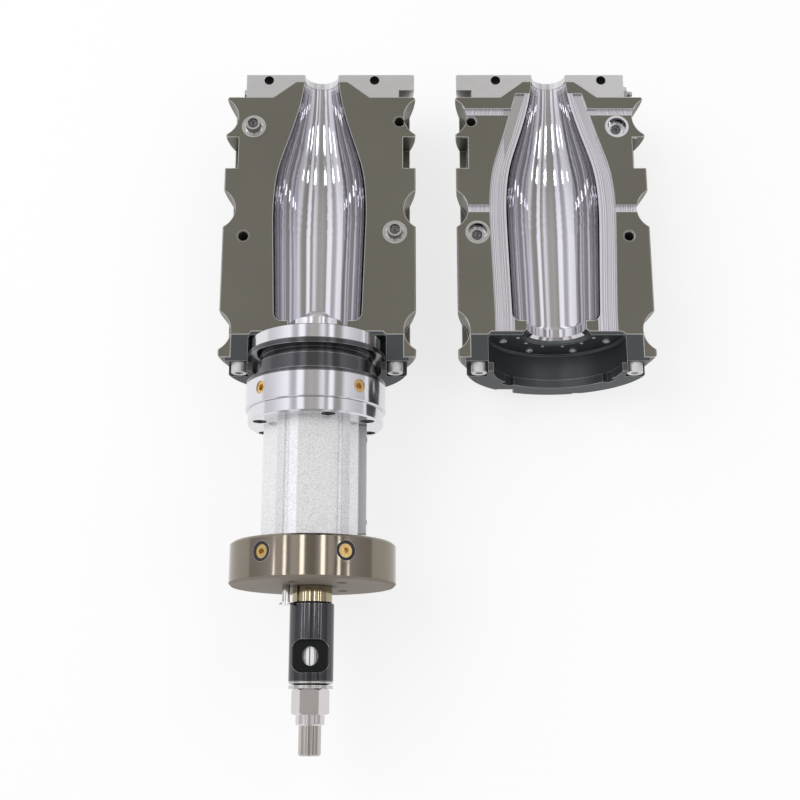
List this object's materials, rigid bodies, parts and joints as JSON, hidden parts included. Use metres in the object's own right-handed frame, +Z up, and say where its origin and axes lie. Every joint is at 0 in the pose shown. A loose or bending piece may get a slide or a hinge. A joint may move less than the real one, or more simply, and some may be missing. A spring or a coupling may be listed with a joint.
{
  "type": "blow mould",
  "caption": "Open stretch-blow bottle mould lying on its round backs: two cavity halves with neck plates and base rings, and a base-form stroke cylinder in one foot.",
  "frame": {"origin": "middle of the footprint, on the surface that the two halves lie on", "axes": "+X from the left half to the right half, +Y along the bottle towards its neck, +Z up out of the parting faces"},
  "size_m": [0.345, 0.5468, 0.1402],
  "materials": {
    "mould_aluminium": "hard-anodised dark olive grey, bottle cavity mirror-polished",
    "plate_steel": "ground and brushed",
    "ring_black": "blackened, satin",
    "screw_steel": "zinc-plated",
    "guide_steel": "hardened and ground",
    "bright_ring": "turned and polished",
    "collar_dark": "dark, polished",
    "plug_brass": "turned",
    "bush_bronze": "turned",
    "seal_rubber": "smooth",
    "barrel_white": "bead-blasted, clear anodised",
    "rail_grey": "anodised grey",
    "flange_bronze": "glossy bronze-coloured anodising",
    "form_satin": "satin",
    "rod_polished": "polished",
    "piston_aluminium": "machined",
    "sleeve_black": "black, glossy",
    "washer_steel": "plated"
  },
  "bodies": {
    "fixed_half": {"left_mould_body": "mould_aluminium", "left_neck_plate": "plate_steel", "left_plate_plug": "screw_steel", "left_base_ring": "ring_black", "left_base_ring_screws": "screw_steel", "guide_pins": "guide_steel", "base_head": "bright_ring", "locking_collar": "collar_dark", "cylinder_head": "bright_ring", "head_plugs": "plug_brass", "stem_bush": "bush_bronze", "stem_seal": "seal_rubber", "cylinder_cap": "bright_ring", "cylinder_barrel": "barrel_white", "sensor_rail": "rail_grey", "tail_flange": "flange_bronze", "flange_port_seals": "seal_rubber", "flange_port_plugs": "plug_brass", "rod_bush": "bush_bronze", "rod_wiper": "seal_rubber", "stop_pin": "rod_polished"},
    "right_half": {"right_mould_body": "mould_aluminium", "right_neck_plate": "plate_steel", "right_hose_nipple": "screw_steel", "right_base_ring": "ring_black", "right_base_ring_screws": "screw_steel", "guide_bushes": "guide_steel"},
    "base_stroke": {"base_insert": "form_satin", "base_stem": "rod_polished", "piston": "piston_aluminium", "piston_seals": "seal_rubber", "stop_tube": "rod_polished", "piston_rod": "rod_polished", "tail_sleeve": "sleeve_black", "spring_washer": "washer_steel", "flat_washer": "washer_steel", "lock_nut": "rod_polished"}
  },
  "joints": [
    {"name": "mould_closing", "type": "hinge", "parent": "fixed_half", "child": "right_half", "pos_m": [0, 0, 0.078], "axis": [0, -1, 0], "range_deg": [0, 180]},
    {"name": "base_lift", "type": "slide", "parent": "fixed_half", "child": "base_stroke", "axis": [0, 1, 0], "range_m": [-0.01, 0.003]}
  ]
}
